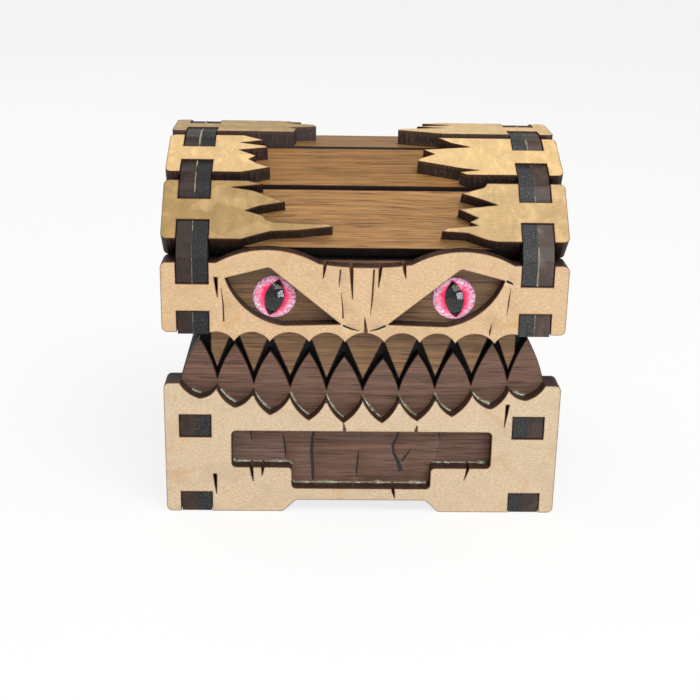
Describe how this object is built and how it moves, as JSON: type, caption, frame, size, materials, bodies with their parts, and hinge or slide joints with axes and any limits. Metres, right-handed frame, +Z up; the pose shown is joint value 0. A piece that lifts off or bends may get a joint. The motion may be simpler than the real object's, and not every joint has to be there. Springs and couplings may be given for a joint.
{
  "type": "dice storage chest",
  "caption": "Small wooden chest with an arched hinged lid, interlocking teeth and glass eyes on its front, for keeping dice.",
  "frame": {"origin": "middle of the closed chest's footprint, on the surface that it stands on", "axes": "+Z up, +X along the width to the viewer's right, -Y towards the front with the face, +Y towards the hinges"},
  "size_m": [0.092, 0.08, 0.0851],
  "materials": {
    "walnut_sheet": "satin walnut veneer, charred cut edges",
    "maple_facing": "pale plywood, satin, charred cut edges",
    "brown_end_sheet": "dark brown stained plywood, satin",
    "black_sheet": "black board, finely speckled, matt",
    "brass_fittings": "plain brass",
    "eye_glass": "clear polished dome",
    "eye_print": "printed iris under the glass"
  },
  "bodies": {
    "base": {"base_front_tooth_board": "walnut_sheet", "base_back_board": "walnut_sheet", "base_floor": "walnut_sheet", "base_front_facing": "maple_facing", "base_back_facing_left": "maple_facing", "base_back_facing_right": "maple_facing", "base_end_outer_left": "brown_end_sheet", "base_end_outer_right": "brown_end_sheet", "base_end_inner_left": "black_sheet", "base_end_inner_right": "black_sheet", "hinge_leaf_base_left": "brass_fittings", "hinge_leaf_base_right": "brass_fittings", "hinge_pin_left": "brass_fittings", "hinge_pin_right": "brass_fittings", "hinge_screws_base": "brass_fittings"},
    "lid": {"lid_front_tooth_board": "walnut_sheet", "lid_back_board": "walnut_sheet", "lid_plank_front_lower": "walnut_sheet", "lid_plank_front_upper": "walnut_sheet", "lid_plank_top": "walnut_sheet", "lid_plank_back_upper": "walnut_sheet", "lid_plank_back_lower": "walnut_sheet", "lid_front_facing": "maple_facing", "lid_back_facing_left": "maple_facing", "lid_back_facing_right": "maple_facing", "lid_facing_front_lower_left": "maple_facing", "lid_facing_front_lower_right": "maple_facing", "lid_facing_front_upper_left": "maple_facing", "lid_facing_front_upper_right": "maple_facing", "lid_facing_top_left": "maple_facing", "lid_facing_top_right": "maple_facing", "lid_facing_back_upper_left": "maple_facing", "lid_facing_back_upper_right": "maple_facing", "lid_facing_back_lower_left": "maple_facing", "lid_facing_back_lower_right": "maple_facing", "lid_end_outer_left": "brown_end_sheet", "lid_end_outer_right": "brown_end_sheet", "lid_end_inner_left": "black_sheet", "lid_end_inner_right": "black_sheet", "lid_front_liner": "black_sheet", "hinge_leaf_lid_left": "brass_fittings", "hinge_leaf_lid_right": "brass_fittings", "hinge_screws_lid": "brass_fittings", "eye_glass_left": "eye_glass", "eye_glass_right": "eye_glass", "eye_iris_left": "eye_print", "eye_iris_right": "eye_print"}
  },
  "joints": [
    {"name": "lid_hinge", "type": "hinge", "parent": "base", "child": "lid", "pos_m": [0, 0.03798, 0.0324], "axis": [-1, 0, 0], "range_deg": [0, 105]}
  ]
}
